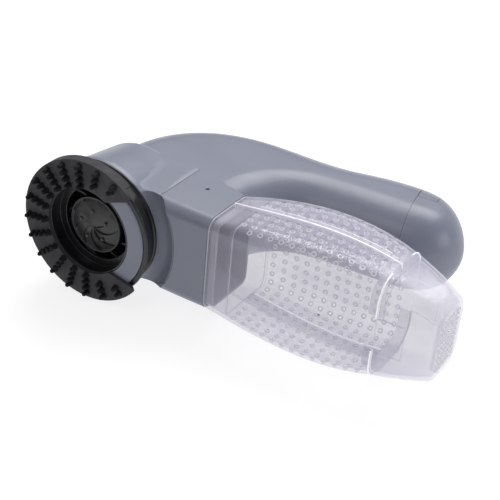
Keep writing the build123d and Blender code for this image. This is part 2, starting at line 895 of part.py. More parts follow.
with BuildPart() as end_cap:
    add(end_shell.part)
    # Lip that plugs into the bin's open end, rooted inside the cap.
    extrude(section_face(cap_sections[0], cap_start_x - lip_reach, lip_outer), amount=lip_length)
    extrude(
        section_face(cap_sections[0], cap_start_x - lip_reach, lip_inner),
        amount=lip_length,
        mode=Mode.SUBTRACT,
    )
    # Openings for the two latches.
    with BuildSketch(Plane.YZ.offset(cap_start_x - lip_reach)):
        with Locations((cap_y, mid_z)):
            Rectangle(60, 2 * tab_half_width)
    extrude(amount=lip_reach + tab_length, mode=Mode.SUBTRACT)
    # Window for the grille in the end face.
    with BuildSketch(Plane.YZ.offset(cap_end_x - bin_wall)):
        with Locations(grille_place):
            RectangleRounded(*grille_size, grille_round)
    extrude(amount=2 * bin_wall, mode=Mode.SUBTRACT)
save(end_cap, "end_cap")

with BuildPart() as end_grille:
    with BuildSketch(Plane.YZ.offset(cap_end_x - bin_wall)):
        with Locations(grille_place):
            RectangleRounded(*grille_size, grille_round)
            with GridLocations(grille_pitch, grille_pitch, 7, 10):
                Circle(grille_hole_r, mode=Mode.SUBTRACT)
    extrude(amount=bin_wall - 0.2)
save(end_grille, "end_grille")

for name, side in (("end_latch_near", -1), ("end_latch_far", 1)):
    with BuildPart() as latch:
        add(end_shell.part)
        with BuildSketch(Plane.YZ.offset(cap_start_x + 2 * fit_gap)):
            with Locations((cap_y + side * 15, mid_z)):
                Rectangle(30, 2 * (tab_half_width - fit_gap))
        extrude(amount=tab_length - 3 * fit_gap, mode=Mode.INTERSECT)
    save(latch, name)
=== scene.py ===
import json
from math import cos, pi, radians, sin

import bmesh
import bpy
from mathutils import Matrix, Vector
from mathutils.bvhtree import BVHTree


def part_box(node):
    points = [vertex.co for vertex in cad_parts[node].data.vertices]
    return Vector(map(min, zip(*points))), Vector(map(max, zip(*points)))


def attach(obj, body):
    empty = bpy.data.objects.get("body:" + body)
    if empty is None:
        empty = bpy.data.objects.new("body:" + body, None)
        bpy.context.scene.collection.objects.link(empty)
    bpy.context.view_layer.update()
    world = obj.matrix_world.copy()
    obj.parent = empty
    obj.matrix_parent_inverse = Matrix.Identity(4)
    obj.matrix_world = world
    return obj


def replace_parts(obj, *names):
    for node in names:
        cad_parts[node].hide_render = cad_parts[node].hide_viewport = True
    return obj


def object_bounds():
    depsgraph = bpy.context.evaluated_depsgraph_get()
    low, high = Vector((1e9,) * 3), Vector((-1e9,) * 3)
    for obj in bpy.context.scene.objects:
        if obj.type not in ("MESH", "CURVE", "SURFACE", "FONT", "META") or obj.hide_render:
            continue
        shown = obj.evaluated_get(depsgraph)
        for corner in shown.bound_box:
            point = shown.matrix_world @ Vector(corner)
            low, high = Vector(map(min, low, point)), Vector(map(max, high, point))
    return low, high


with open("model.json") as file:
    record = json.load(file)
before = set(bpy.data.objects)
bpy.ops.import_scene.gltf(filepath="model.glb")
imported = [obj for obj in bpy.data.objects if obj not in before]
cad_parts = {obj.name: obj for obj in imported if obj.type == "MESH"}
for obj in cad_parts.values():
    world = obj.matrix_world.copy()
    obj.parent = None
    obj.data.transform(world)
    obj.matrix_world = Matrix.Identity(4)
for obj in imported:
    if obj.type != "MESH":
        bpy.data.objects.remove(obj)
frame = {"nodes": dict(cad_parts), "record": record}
cad_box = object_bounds()
nodes = frame["nodes"]
MM = 0.001
WELD = 0.002 * MM  # corners of a CAD mesh nearer than this are one

# ---------------------------------------------------------------------------
# Places taken from the frame. The head's axis is parallel to Y.
# ---------------------------------------------------------------------------
ring_low, ring_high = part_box("nozzle_ring")
HEAD_X = (ring_low.x + ring_high.x) / 2
MID_Z = (ring_low.z + ring_high.z) / 2
spin_low, spin_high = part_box("spinner_cap")
SPIN_R = (spin_high.z - spin_low.z) / 2


def head_point(radius, angle, y):
    """A point round the head's axis: the angle is from +X towards +Z."""
    return Vector((HEAD_X + radius * cos(angle), y, MID_Z + radius * sin(angle)))


# ---------------------------------------------------------------------------
# Mesh helpers.
# ---------------------------------------------------------------------------
def mesh_object(name, mesh, material, body, smooth_angle=40):
    """Links a finished mesh as a piece that rides on a body."""
    obj = bpy.data.objects.new(name, mesh)
    bpy.context.scene.collection.objects.link(obj)
    mesh.materials.clear()
    mesh.materials.append(material)
    set_smooth(mesh, smooth_angle)
    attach(obj, body)
    return obj


def set_smooth(mesh, smooth_angle):
    """Smooth shading that keeps edges sharper than the angle."""
    mesh.polygons.foreach_set("use_smooth", [True] * len(mesh.polygons))
    bm = bmesh.new()
    bm.from_mesh(mesh)
    for edge in bm.edges:
        joined = len(edge.link_faces) == 2
        edge.smooth = joined and edge.calc_face_angle(0) < radians(smooth_angle)
    bm.to_mesh(mesh)
    bm.free()


def to_mesh(bm, name):
    """A mesh with its faces turned outwards, made from a bmesh that is then freed."""
    bmesh.ops.recalc_face_normals(bm, faces=bm.faces)
    mesh = bpy.data.meshes.new(name)
    bm.to_mesh(mesh)
    bm.free()
    return mesh


def skin(bm, rings, closed=True):
    """Joins each ring of vertices to the next, and the last to the first where they close."""
    after = rings[1:] + rings[:1] if closed else rings[1:]
    for here, there in zip(rings, after):
        for i in range(len(here)):
            j = (i + 1) % len(here)
            bm.faces.new((here[i], here[j], there[j], there[i]))


def lathe(bm, profile, steps, axis_x=HEAD_X, axis_z=MID_Z):
    """Revolves a closed outline of (radius, y) points about the head's axis or one beside it."""
    rings = []
    for step in range(steps):
        turn = 2 * pi * step / steps
        rings.append(
            [
                bm.verts.new((axis_x + r * cos(turn), y, axis_z + r * sin(turn)))
                for r, y in profile
            ]
        )
    skin(bm, rings)


def welded_copy(node):
    """A bmesh with the node's shape, its corners joined up so that it can be cut and searched."""
    bm = bmesh.new()
    bm.from_mesh(nodes[node].data)
    bmesh.ops.remove_doubles(bm, verts=bm.verts, dist=WELD)
    return bm


# ---------------------------------------------------------------------------
# Materials.
# ---------------------------------------------------------------------------
class Shader:
    """A Principled material with a few procedural layers added to it."""

    def __init__(self, name, roughness, **inputs):
        self.material = bpy.data.materials.new(name)
        self.material.use_nodes = True
        self.tree = self.material.node_tree
        self.surface = self.tree.nodes["Principled BSDF"]
        self.surface.inputs["Roughness"].default_value = roughness
        for key, value in inputs.items():
            self.surface.inputs[key.replace("_", " ")].default_value = value
        self.place = self.node("ShaderNodeTexCoord").outputs["Object"]

    def node(self, kind, **settings):
        made = self.tree.nodes.new(kind)
        for key, value in settings.items():
            setattr(made, key, value)
        return made

    def link(self, out, into):
        self.tree.links.new(out, into)
        return self

    def noise(self, scale, detail=3.0, rough=0.55, stretch=None):
        """A noise pattern with scale cycles per metre."""
        made = self.node("ShaderNodeTexNoise")
        made.inputs["Scale"].default_value = scale
        made.inputs["Detail"].default_value = detail
        made.inputs["Roughness"].default_value = rough
        place = self.place
        if stretch:
            mapping = self.node("ShaderNodeMapping")
            mapping.inputs["Scale"].default_value = stretch
            self.link(place, mapping.inputs["Vector"])
            place = mapping.outputs["Vector"]
        self.link(place, made.inputs["Vector"])
        return made.outputs["Fac"]

    def spread(self, value, low, high, start=0.3, end=0.7):
        """Maps a pattern from start..end to low..high."""
        made = self.node("ShaderNodeMapRange")
        made.inputs["From Min"].default_value = start
        made.inputs["From Max"].default_value = end
        made.inputs["To Min"].default_value = low
        made.inputs["To Max"].default_value = high
        self.link(value, made.inputs["Value"])
        return made.outputs["Result"]

    def mix(self, factor, first, second):
        """Mixes two colours, or a pattern's colour output, by a factor."""
        made = self.node("ShaderNodeMix", data_type="RGBA")
        self.link(factor, made.inputs["Factor"])
        for socket, colour in ((made.inputs[6], first), (made.inputs[7], second)):
            if isinstance(colour, tuple):
                socket.default_value = (*colour, 1)
            else:
                self.link(colour, socket)
        return made.outputs[2]

    def colour(self, out):
        return self.link(out, self.surface.inputs["Base Color"])

    def rough(self, out):
        return self.link(out, self.surface.inputs["Roughness"])

    def bump(self, *layers):
        """Adds bumps: each layer is (pattern, height in metres)."""
        normal = None
        for pattern, height in layers:
            made = self.node("ShaderNodeBump")
            made.inputs["Strength"].default_value = 1.0
            made.inputs["Distance"].default_value = height
            self.link(pattern, made.inputs["Height"])
            if normal:
                self.link(normal, made.inputs["Normal"])
            normal = made.outputs["Normal"]
        return self.link(normal, self.surface.inputs["Normal"])


def body_plastic(name, light, dark, roughness=0.36):
    """Satin moulded plastic: a faint cloudiness, spark-eroded grain and handling marks."""
    shader = Shader(name, roughness, Specular_IOR_Level=0.45, Coat_Weight=0.12, Coat_Roughness=0.25)
    cloud = shader.noise(22, 4)
    flow = shader.noise(60, 3, 0.5, (0.35, 1, 1))
    tone = shader.mix(shader.spread(cloud, 0, 1), dark, light)
    grain = shader.noise(2600, 2, 0.6)
    speck = shader.spread(grain, 0, 1, 0.62, 0.72)
    shader.colour(shader.mix(shader.spread(speck, 0, 0.10, 0, 1), tone, light))
    wear = shader.spread(flow, roughness - 0.05, roughness + 0.07)
    shader.rough(wear)
    shader.bump((grain, 0.000012), (shader.noise(700, 3), 0.000010))
    return shader.material


def rubber(name, light, dark):
    """Matte moulded rubber with a fine nap and a little grey dust."""
    shader = Shader(name, 0.72, Specular_IOR_Level=0.28)
    tone = shader.mix(shader.spread(shader.noise(90, 4), 0, 1), dark, light)
    dust = shader.spread(shader.noise(1900, 5, 0.7), 0, 0.20, 0.60, 0.78)
    shader.colour(shader.mix(dust, tone, (0.07, 0.07, 0.08)))
    shader.rough(shader.spread(shader.noise(240, 3), 0.62, 0.82))
    shader.bump((shader.noise(1500, 4, 0.65), 0.00004), (shader.noise(320, 3), 0.00005))
    return shader.material


def black_plastic(name, light, dark, roughness):
    """Dark moulded plastic with a soft shine, faint swirls and specks of dust."""
    shader = Shader(name, roughness, Specular_IOR_Level=0.5, Coat_Weight=0.1, Coat_Roughness=0.2)
    swirl = shader.noise(140, 4, 0.6, (1, 0.3, 1))
    dust = shader.spread(shader.noise(2400, 4, 0.7), 0, 0.25, 0.64, 0.78)
    tone = shader.mix(shader.spread(swirl, 0, 1), dark, light)
    shader.colour(shader.mix(dust, tone, (0.20, 0.20, 0.22)))
    shader.rough(shader.spread(swirl, roughness - 0.06, roughness + 0.10))
    shader.bump((shader.noise(1800, 3), 0.00001))
    return shader.material


def clear_plastic(name, tint, deep, alpha, glow=0.0):
    """Clear tinted plastic: denser where it is seen edge on, with flow marks and fine scuffs.

    The glow stands for the light that a thick edge pipes in from the walls beside it.
    """
    shader = Shader(name, 0.08, Specular_IOR_Level=0.6, IOR=1.46, Coat_Weight=0.6, Coat_Roughness=0.06)
    if glow:
        shader.surface.inputs["Emission Color"].default_value = (*tint, 1)
        shader.surface.inputs["Emission Strength"].default_value = glow
    facing = shader.node("ShaderNodeLayerWeight")
    facing.inputs["Blend"].default_value = 0.32
    flow = shader.noise(45, 3, 0.5, (0.4, 1, 1))
    cloud = shader.spread(flow, -0.06, 0.06)
    edge = shader.spread(facing.outputs["Facing"], alpha, 0.62, 0.1, 1.0)
    total = shader.node("ShaderNodeMath", operation="ADD", use_clamp=True)
    shader.link(edge, total.inputs[0]).link(cloud, total.inputs[1])
    shader.link(total.outputs[0], shader.surface.inputs["Alpha"])
    shader.colour(shader.mix(shader.spread(flow, 0, 1), tint, deep))
    scuff = shader.noise(900, 4, 0.7, (0.2, 1, 1))
    shader.rough(shader.spread(scuff, 0.10, 0.26, 0.45, 0.8))
    shader.bump((shader.noise(260, 2), 0.000012))
    return shader.material


def metal(name, colour, dark, roughness, stretch=(1, 1, 1)):
    """Bare metal with fine drawn or brushed marks."""
    shader = Shader(name, roughness, Metallic=1.0)
    marks = shader.noise(1400, 4, 0.7, stretch)
    shader.colour(shader.mix(shader.spread(marks, 0, 1), dark, colour))
    shader.rough(shader.spread(marks, roughness - 0.08, roughness + 0.12))
    shader.bump((marks, 0.000015))
    return shader.material


def sleeve(name, colour, dark):
    """The printed plastic sleeve of a battery cell, without lettering."""
    shader = Shader(name, 0.28, Coat_Weight=0.5, Coat_Roughness=0.1)
    cloud = shader.noise(180, 4)
    shader.colour(shader.mix(shader.spread(cloud, 0, 1), dark, colour))
    shader.rough(shader.spread(cloud, 0.22, 0.4))
    shader.bump((shader.noise(900, 3), 0.00001))
    return shader.material


MATERIALS = {
    "body_plastic": body_plastic("body_plastic", (0.196, 0.208, 0.272), (0.180, 0.192, 0.252)),
    "ring_plastic": body_plastic("ring_plastic", (0.186, 0.198, 0.258), (0.172, 0.184, 0.240), 0.42),
    "black_plastic": black_plastic("black_plastic", (0.012, 0.012, 0.014), (0.006, 0.006, 0.008), 0.32),
    "pad_rubber": rubber("pad_rubber", (0.0520, 0.0500, 0.0570), (0.0400, 0.0385, 0.0450)),
    "pin_rubber": rubber("pin_rubber", (0.0050, 0.0048, 0.0062), (0.0028, 0.0027, 0.0036)),
    "seal_rubber": body_plastic("seal_rubber", (0.62, 0.62, 0.68), (0.54, 0.54, 0.60), 0.5),
    "bin_clear": clear_plastic("bin_clear", (0.72, 0.70, 0.82), (0.65, 0.63, 0.76), 0.17),
    "bin_collars": clear_plastic("bin_collars", (0.96, 0.95, 1.0), (0.90, 0.89, 0.95), 0.52),
    # The edges' material glows a little: painted light, standing for the light that thick clear edges
    # pipe in.
    "bin_edges": clear_plastic("bin_edges", (0.98, 0.97, 1.0), (0.92, 0.91, 0.97), 0.80, 0.25),
    "seam": body_plastic("seam", (0.050, 0.054, 0.070), (0.040, 0.044, 0.058), 0.6),
    "gate_mark": body_plastic("gate_mark", (0.20, 0.20, 0.23), (0.14, 0.14, 0.17)),
    "fan_plastic": black_plastic("fan_plastic", (0.032, 0.031, 0.034), (0.018, 0.018, 0.020), 0.38),
    "inner_plastic": body_plastic("inner_plastic", (0.66, 0.65, 0.62), (0.58, 0.57, 0.54), 0.5),
    "steel": metal("steel", (0.56, 0.56, 0.58), (0.40, 0.40, 0.42), 0.3, (1, 0.1, 1)),
    "magnet": metal("magnet", (0.10, 0.10, 0.11), (0.05, 0.05, 0.06), 0.5),
    "bronze": metal("bronze", (0.55, 0.36, 0.16), (0.36, 0.22, 0.10), 0.42),
    "contact_metal": metal("contact_metal", (0.62, 0.58, 0.46), (0.45, 0.41, 0.32), 0.3),
    "cell_can": sleeve("cell_can", (0.08, 0.17, 0.30), (0.05, 0.11, 0.22)),
}


def dress():
    """Gives every CAD node the material of its slot in the record."""
    slots = {sub["node"]: sub["material_slot"] for sub in frame["record"]["subparts"]}
    for name, obj in nodes.items():
        for place in obj.material_slots:
            place.material = MATERIALS[slots[name]]


def soften(name, width):
    """Rounds a CAD node's edges a little, so that they catch the light as moulded edges do."""
    obj = nodes[name]
    weld = obj.modifiers.new("weld", "WELD")
    weld.merge_threshold = WELD
    bevel = obj.modifiers.new("edge", "BEVEL")
    bevel.width = width
    bevel.segments = 2
    bevel.limit_method = "ANGLE"
    bevel.angle_limit = radians(38)
    bevel.use_clamp_overlap = True
    bevel.harden_normals = False
    normals = obj.modifiers.new("normals", "WEIGHTED_NORMAL")
    normals.keep_sharp = False


# ---------------------------------------------------------------------------
# Spinner: a shallow dome of overlapping curved petals with small round studs.
# ---------------------------------------------------------------------------
PETALS = 9
PETAL_SWEEP = radians(48)
PETAL_STEP = 0.85 * MM
PETAL_ROOM = 0.7 * MM
RIM_WIDTH = 1.1 * MM
RIM_DEPTH = 1.6 * MM
STUDS = 5
STUD_PLACE = 0.56  # as a share of the dome's radius
STUD_START = 0.35  # the first stud's angle, as a share of the angle between two


def spinner():
    """The dome with its petals, its rim, the plug behind the petals' middle and the studs."""
    front_y = spin_low.y + PETAL_ROOM
    back_y = spin_high.y
    edge_y = back_y - RIM_DEPTH
    rise = edge_y - front_y
    dome_r = SPIN_R - RIM_WIDTH
    rings, steps = 22, 16
    bm = bmesh.new()
    centre = bm.verts.new((HEAD_X, front_y, MID_Z))
    grid = []
    for ring in range(1, rings + 1):
        share = ring / rings
        radius = dome_r * share
        row = []
        for petal in range(PETALS):
            for step in range(steps + 1):
                across = step / steps
                turn = 2 * pi * (petal + across) / PETALS + PETAL_SWEEP * share**1.3
                lift = PETAL_STEP * across**1.5 * min(1, 3.2 * share) * min(1, 8 * (1.04 - share))
                y = front_y + rise * share**2 - lift
                row.append(bm.verts.new(head_point(radius, turn, y)))
        grid.append(row)
    count = len(grid[0])
    for i in range(count):
        bm.faces.new((centre, grid[0][(i + 1) % count], grid[0][i]))
    skin(bm, grid, closed=False)
    rim = [
        (dome_r, edge_y - 0.25 * MM),
        (dome_r + 0.3 * MM, edge_y - 0.75 * MM),
        (SPIN_R - 0.3 * MM, edge_y - 0.75 * MM),
        (SPIN_R, edge_y - 0.35 * MM),
        (SPIN_R, back_y - 0.3 * MM),
        (SPIN_R - 0.4 * MM, back_y),
        (dome_r - 1.5 * MM, back_y),
        (dome_r - 1.5 * MM, edge_y + 0.2 * MM),
    ]
    lathe(bm, rim, 120)
    plug = [
        (0.9 * MM, front_y + 0.4 * MM),
        (4.2 * MM, edge_y),
        (4.2 * MM, back_y),
        (0.9 * MM, back_y),
    ]
    lathe(bm, plug, 48)
    for stud in range(STUDS):
        turn = 2 * pi * (stud + STUD_START) / STUDS
        foot = head_point(dome_r * STUD_PLACE, turn, front_y + rise * STUD_PLACE**2)
        profile = [
            (0.02 * MM, foot.y - 1.2 * MM),
            (0.7 * MM, foot.y - 1.2 * MM),
            (1.05 * MM, foot.y - 0.9 * MM),
            (1.2 * MM, foot.y + 0.5 * MM),
            (0.02 * MM, foot.y + 0.5 * MM),
        ]
        lathe(bm, profile, 20, foot.x, foot.z)
    mesh = to_mesh(bm, "spinner")
    return mesh_object("spinner", mesh, MATERIALS["fan_plastic"], "fan", 28)


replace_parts(spinner(), "spinner_cap")


# ---------------------------------------------------------------------------
# Rubber pins: each CAD cone becomes a turned pin with a foot, a waist and a round tip.
# ---------------------------------------------------------------------------
PIN_FOOT_R = 1.9 * MM
PIN_WAIST_R = 1.42 * MM
PIN_TIP_R = 1.05 * MM


def islands(node):
    """The middle and the Y range of every separate piece of a CAD node."""
    bm = welded_copy(node)
    bm.verts.ensure_lookup_table()
    seen, found = set(), []
    for start in bm.verts:
        if start.index in seen:
            continue
        stack, points = [start], []
        seen.add(start.index)
        while stack:
            vert = stack.pop()
            points.append(vert.co.copy())
            for edge in vert.link_edges:
                other = edge.other_vert(vert)
                if other.index not in seen:
                    seen.add(other.index)
                    stack.append(other)
        xs, ys, zs = ([p[i] for p in points] for i in range(3))
        found.append(((min(xs) + max(xs)) / 2, (min(zs) + max(zs)) / 2, min(ys), max(ys)))
    bm.free()
    return found


def pins():
    """One turned pin in the place of each cone of the CAD node."""
    bm = bmesh.new()
    for x, z, tip_y, foot_y in islands("pad_bristles"):
        reach = foot_y - tip_y
        profile = [
            (0.03 * MM, foot_y),
            (PIN_FOOT_R, foot_y),
            (PIN_FOOT_R - 0.15 * MM, foot_y - 0.16 * MM),
            (PIN_WAIST_R + 0.25 * MM, foot_y - 0.38 * MM),
            (PIN_WAIST_R, foot_y - 0.8 * MM),
            (PIN_TIP_R + 0.12 * MM, foot_y - 0.82 * reach),
            (PIN_TIP_R * 0.94, foot_y - 0.89 * reach),
            (PIN_TIP_R * 0.76, foot_y - 0.95 * reach),
            (PIN_TIP_R * 0.42, foot_y - 0.985 * reach),
            (0.03 * MM, tip_y),
        ]
        lathe(bm, profile, 20, x, z)
    return mesh_object("pins", to_mesh(bm, "pins"), MATERIALS["pin_rubber"], "pad", 50)


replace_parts(pins(), "pad_bristles")


# ---------------------------------------------------------------------------
# Clear bin: the shells with their air holes, each in a small raised collar.
# ---------------------------------------------------------------------------
HOLE_R = 0.85 * MM
COLLAR_R = 1.45 * MM
COLLAR_HEIGHT = 0.35 * MM
HOLE_PITCH = 5.6 * MM
COLUMN_PITCH = 6.0 * MM
BIN_WALL = 1.8 * MM
FAR_ARCS = ((-87, 87),)  # the girth that has holes, in degrees from +Y towards +Z
NEAR_ARCS = ((93, 127), (233, 267))
COLUMNS_START = 15 * MM  # from the bin's mouth
COLUMNS_END = 7 * MM  # from the end cap's seam
GRILLE_COLUMNS, GRILLE_ROWS, GRILLE_PITCH = 7, 10, 3.0 * MM

far_low, far_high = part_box("bin_far_shell")
near_low, near_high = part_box("bin_near_shell")
bin_middle_y = (near_low.y + far_high.y) / 2
first_column = far_low.x + COLUMNS_START
columns = int((far_high.x - COLUMNS_END - first_column) / COLUMN_PITCH) + 1


def tree_of(name):
    """A search tree of a CAD node, for finding places on its surface."""
    bm = welded_copy(name)
    tree = BVHTree.FromBMesh(bm)
    bm.free()
    return tree


def section_places(tree, x, centre_y, start, end, pitch):
    """Places and normals round the wall's outer surface at x, evenly spaced along the girth.

    The angles run from start to end in degrees about the bin's middle, 0 towards +Y.
    """
    found, last, run = [], None, pitch / 2
    steps_per_degree, reach = 4, 80 * MM
    for step in range(int((end - start) * steps_per_degree) + 1):
        turn = radians(start + step / steps_per_degree)
        out = Vector((0, cos(turn), sin(turn)))
        origin = Vector((x, centre_y, MID_Z)) + out * reach
        place, normal, _, _ = tree.ray_cast(origin, -out, reach)
        if place is None:
            last = None
            continue
        if last is not None:
            run += (place - last).length
            if run >= pitch:
                run = 0.0
                found.append((place.copy(), normal.copy()))
        last = place
    return found


def ring_solid(bm, place, normal, profile, steps):
    """Revolves a closed outline of (radius, height) points about a place's normal."""
    side = normal.orthogonal().normalized()
    other = normal.cross(side)
    rings = []
    for step in range(steps):
        turn = 2 * pi * step / steps
        out = side * cos(turn) + other * sin(turn)
        rings.append([bm.verts.new(place + out * r + normal * h) for r, h in profile])
    skin(bm, rings)


def rod_solid(bm, place, normal, radius, low, high, steps):
    """A closed round rod through a place, for cutting a hole."""
    side = normal.orthogonal().normalized()
    other = normal.cross(side)
    ends = []
    for height in (low, high):
        ring = []
        for step in range(steps):
            turn = 2 * pi * step / steps
            out = side * radius * cos(turn) + other * radius * sin(turn)
            ring.append(bm.verts.new(place + normal * height + out))
        ends.append(ring)
    bm.faces.new(list(reversed(ends[0])))
    bm.faces.new(ends[1])
    skin(bm, ends, closed=False)


def cut(obj, cutters):
    """Cuts the closed pieces of a mesh out of an object."""
    tool = bpy.data.objects.new("cutter", to_mesh(cutters, "cutter"))
    bpy.context.scene.collection.objects.link(tool)
    change = obj.modifiers.new("cut", "BOOLEAN")
    change.operation = "DIFFERENCE"
    change.solver = "MANIFOLD"
    change.object = tool
    bpy.context.view_layer.update()
    done = bpy.data.meshes.new_from_object(obj.evaluated_get(bpy.context.evaluated_depsgraph_get()))
    obj.modifiers.clear()
    obj.data = done
    bpy.data.objects.remove(tool)


def perforated(node, arcs):
    """A bin shell with rows of holes over some arcs of its girth, and the collars round them."""
    tree = tree_of(node)
    shell_bm = welded_copy(node)
    bmesh.ops.triangulate(shell_bm, faces=shell_bm.faces)
    wall_mesh = to_mesh(shell_bm, node)
    shell = mesh_object(node + "_wall", wall_mesh, MATERIALS["bin_clear"], "bin")
    profile = [
        (HOLE_R, -0.3 * MM),
        (HOLE_R, COLLAR_HEIGHT),
        (COLLAR_R - 0.35 * MM, COLLAR_HEIGHT),
        (COLLAR_R, 0.02 * MM),
        (COLLAR_R, -0.3 * MM),
    ]
    inside = [(r, -BIN_WALL - h) for r, h in reversed(profile)]
    cutters, collars = bmesh.new(), bmesh.new()
    for column in range(columns):
        x = first_column + column * COLUMN_PITCH
        found = []
        for start, end in arcs:
            found += section_places(tree, x, bin_middle_y, start, end, HOLE_PITCH)
        for place, normal in found:
            rod_solid(cutters, place, normal, HOLE_R, -4 * MM, 2 * MM, 14)
            ring_solid(collars, place, normal, inside, 18)
    cut(shell, cutters)
    set_smooth(shell.data, 30)
    collar_mesh = to_mesh(collars, "collars")
    mesh_object(node + "_collars", collar_mesh, MATERIALS["bin_collars"], "bin", 50)
    return shell


def near_wall_mark(x, z):
    """The small round mark that the moulding gate leaves on the near wall."""
    start = Vector((x, near_low.y - 10 * MM, z))
    place, normal, _, _ = tree_of("bin_near_shell").ray_cast(start, Vector((0, 1, 0)))
    bm = bmesh.new()
    profile = [
        (0.05 * MM, -0.1 * MM),
        (0.6 * MM, -0.1 * MM),
        (0.6 * MM, 0.08 * MM),
        (0.4 * MM, 0.16 * MM),
        (0.05 * MM, 0.1 * MM),
    ]
    ring_solid(bm, place, normal, profile, 20)
    mesh = to_mesh(bm, "gate_mark")
    mesh_object("gate_mark", mesh, MATERIALS["gate_mark"], "bin", 40)


def grille_collars():
    """Raised rims round the holes of the end face, which stand in rows about its middle."""
    low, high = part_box("end_grille")
    centre_y, centre_z = (low.y + high.y) / 2, (low.z + high.z) / 2
    profile = [
        (0.80 * MM, -0.2 * MM),
        (0.80 * MM, 0.12 * MM),
        (0.95 * MM, 0.19 * MM),
        (1.15 * MM, 0.12 * MM),
        (1.30 * MM, -0.05 * MM),
        (1.30 * MM, -0.2 * MM),
    ]
    bm = bmesh.new()
    for column in range(GRILLE_COLUMNS):
        for row in range(GRILLE_ROWS):
            y = centre_y + (column - (GRILLE_COLUMNS - 1) / 2) * GRILLE_PITCH
            z = centre_z + (row - (GRILLE_ROWS - 1) / 2) * GRILLE_PITCH
            ring_solid(bm, Vector((high.x, y, z)), Vector((1, 0, 0)), profile, 20)
    mesh = to_mesh(bm, "grille_collars")
    mesh_object("grille_collars", mesh, MATERIALS["bin_collars"], "bin_end_cap", 50)


near_wall_mark(near_low.x + 66 * MM, MID_Z + 1 * MM)
grille_collars()
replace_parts(perforated("bin_far_shell", FAR_ARCS), "bin_far_shell")
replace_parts(perforated("bin_near_shell", NEAR_ARCS), "bin_near_shell")


# ---------------------------------------------------------------------------
# Seams: a fine dark line where two pieces of the casing meet on the outside, and a bright
# bead, which glows a little with painted light, where the clear pieces meet each other or the casing.
# ---------------------------------------------------------------------------
SEAM_R = 0.13 * MM
CLEAR_SEAM_R = 0.42 * MM
LIP_EDGE_R = 0.35 * MM
SEAM_STEP = 1.2 * MM
SHORTEST_SEAM = 3 * MM
ON_SURFACE = 0.04 * MM
SHARP = radians(30)


def shared_edges(bm, tree, other_tree):
    """Sharp edges that lie on the other piece's surface and can be seen from outside."""
    found = []
    for edge in bm.edges:
        if len(edge.link_faces) != 2 or edge.calc_face_angle(0) < SHARP:
            continue
        middle = (edge.verts[0].co + edge.verts[1].co) / 2
        spots = (edge.verts[0].co, edge.verts[1].co, middle)
        if any(other_tree.find_nearest(spot, ON_SURFACE)[0] is None for spot in spots):
            continue
        for face in edge.link_faces:
            start = middle + face.normal * 0.3 * MM
            if not any(near.ray_cast(start, face.normal)[0] for near in (tree, other_tree)):
                found.append(edge)
                break
    return found


def chains(edges):
    """Joins edges end to end into lists of points."""
    links = {}
    for edge in edges:
        for vert in edge.verts:
            links.setdefault(vert, []).append(edge)
    left = set(edges)
    for first in sorted(links, key=lambda vert: (len(links[vert]) == 2, tuple(vert.co))):
        for edge in links[first]:
            if edge not in left:
                continue
            points, vert = [first.co.copy()], first
            while edge:
                left.discard(edge)
                vert = edge.other_vert(vert)
                points.append(vert.co.copy())
                edge = next((e for e in links[vert] if e in left), None)
            yield points


def thinned(points, step):
    """The points without those nearer than a step to the one before."""
    kept = [points[0]]
    for point in points[1:-1]:
        if (point - kept[-1]).length >= step:
            kept.append(point)
    if (points[-1] - kept[-1]).length < step / 2 and len(kept) > 1:
        kept.pop()
    return kept + [points[-1]]


def bead(bm, points, radius, sides=6):
    """A thin closed tube along the points of a seam, kept inside the CAD box."""
    low, high = cad_box
    rings = []
    side = None
    for i, point in enumerate(points):
        before, after = points[max(i - 1, 0)], points[min(i + 1, len(points) - 1)]
        ahead = (after - before).normalized()
        side = ahead.orthogonal() if side is None else side - ahead * side.dot(ahead)
        side.normalize()
        other = ahead.cross(side)
        ring = []
        for k in range(sides):
            turn = 2 * pi * k / sides
            spot = point + side * radius * cos(turn) + other * radius * sin(turn)
            ring.append(bm.verts.new([min(max(spot[a], low[a]), high[a]) for a in range(3)]))
        rings.append(ring)
    skin(bm, rings, closed=False)
    bm.faces.new(list(reversed(rings[0])))
    bm.faces.new(rings[-1])


SEAMS = [
    ("front_housing", "bin_collar"),
    ("front_housing", "handle_upper"),
    ("front_housing", "handle_lower"),
    ("bin_collar", "handle_upper"),
    ("bin_collar", "handle_lower"),
    ("handle_upper", "handle_lower"),
    ("battery_cap", "handle_upper"),
    ("battery_cap", "handle_lower"),
]
BIN_SEAMS = [
    ("bin_near_shell", "bin_far_shell"),
    ("bin_near_shell", "bin_collar"),
    ("bin_far_shell", "bin_collar"),
]
CAP_SEAMS = [("end_cap", "bin_near_shell"), ("end_cap", "bin_far_shell")]


def seams(name, pairs, radius, material, body):
    """One piece with the beads of all the seams between some pairs of CAD nodes."""
    bm = bmesh.new()
    for first, second in pairs:
        piece = welded_copy(first)
        tree, other_tree = BVHTree.FromBMesh(piece), tree_of(second)
        for points in chains(shared_edges(piece, tree, other_tree)):
            length = sum((b - a).length for a, b in zip(points, points[1:]))
            if length > SHORTEST_SEAM:
                bead(bm, thinned(points, SEAM_STEP), radius)
        piece.free()
    mesh_object(name, to_mesh(bm, name), MATERIALS[material], body, 60)


seams("seams", SEAMS, SEAM_R, "seam", "casing")
seams("bin_seams", BIN_SEAMS, CLEAR_SEAM_R, "bin_edges", "bin")
seams("cap_seams", CAP_SEAMS, CLEAR_SEAM_R, "bin_edges", "bin_end_cap")


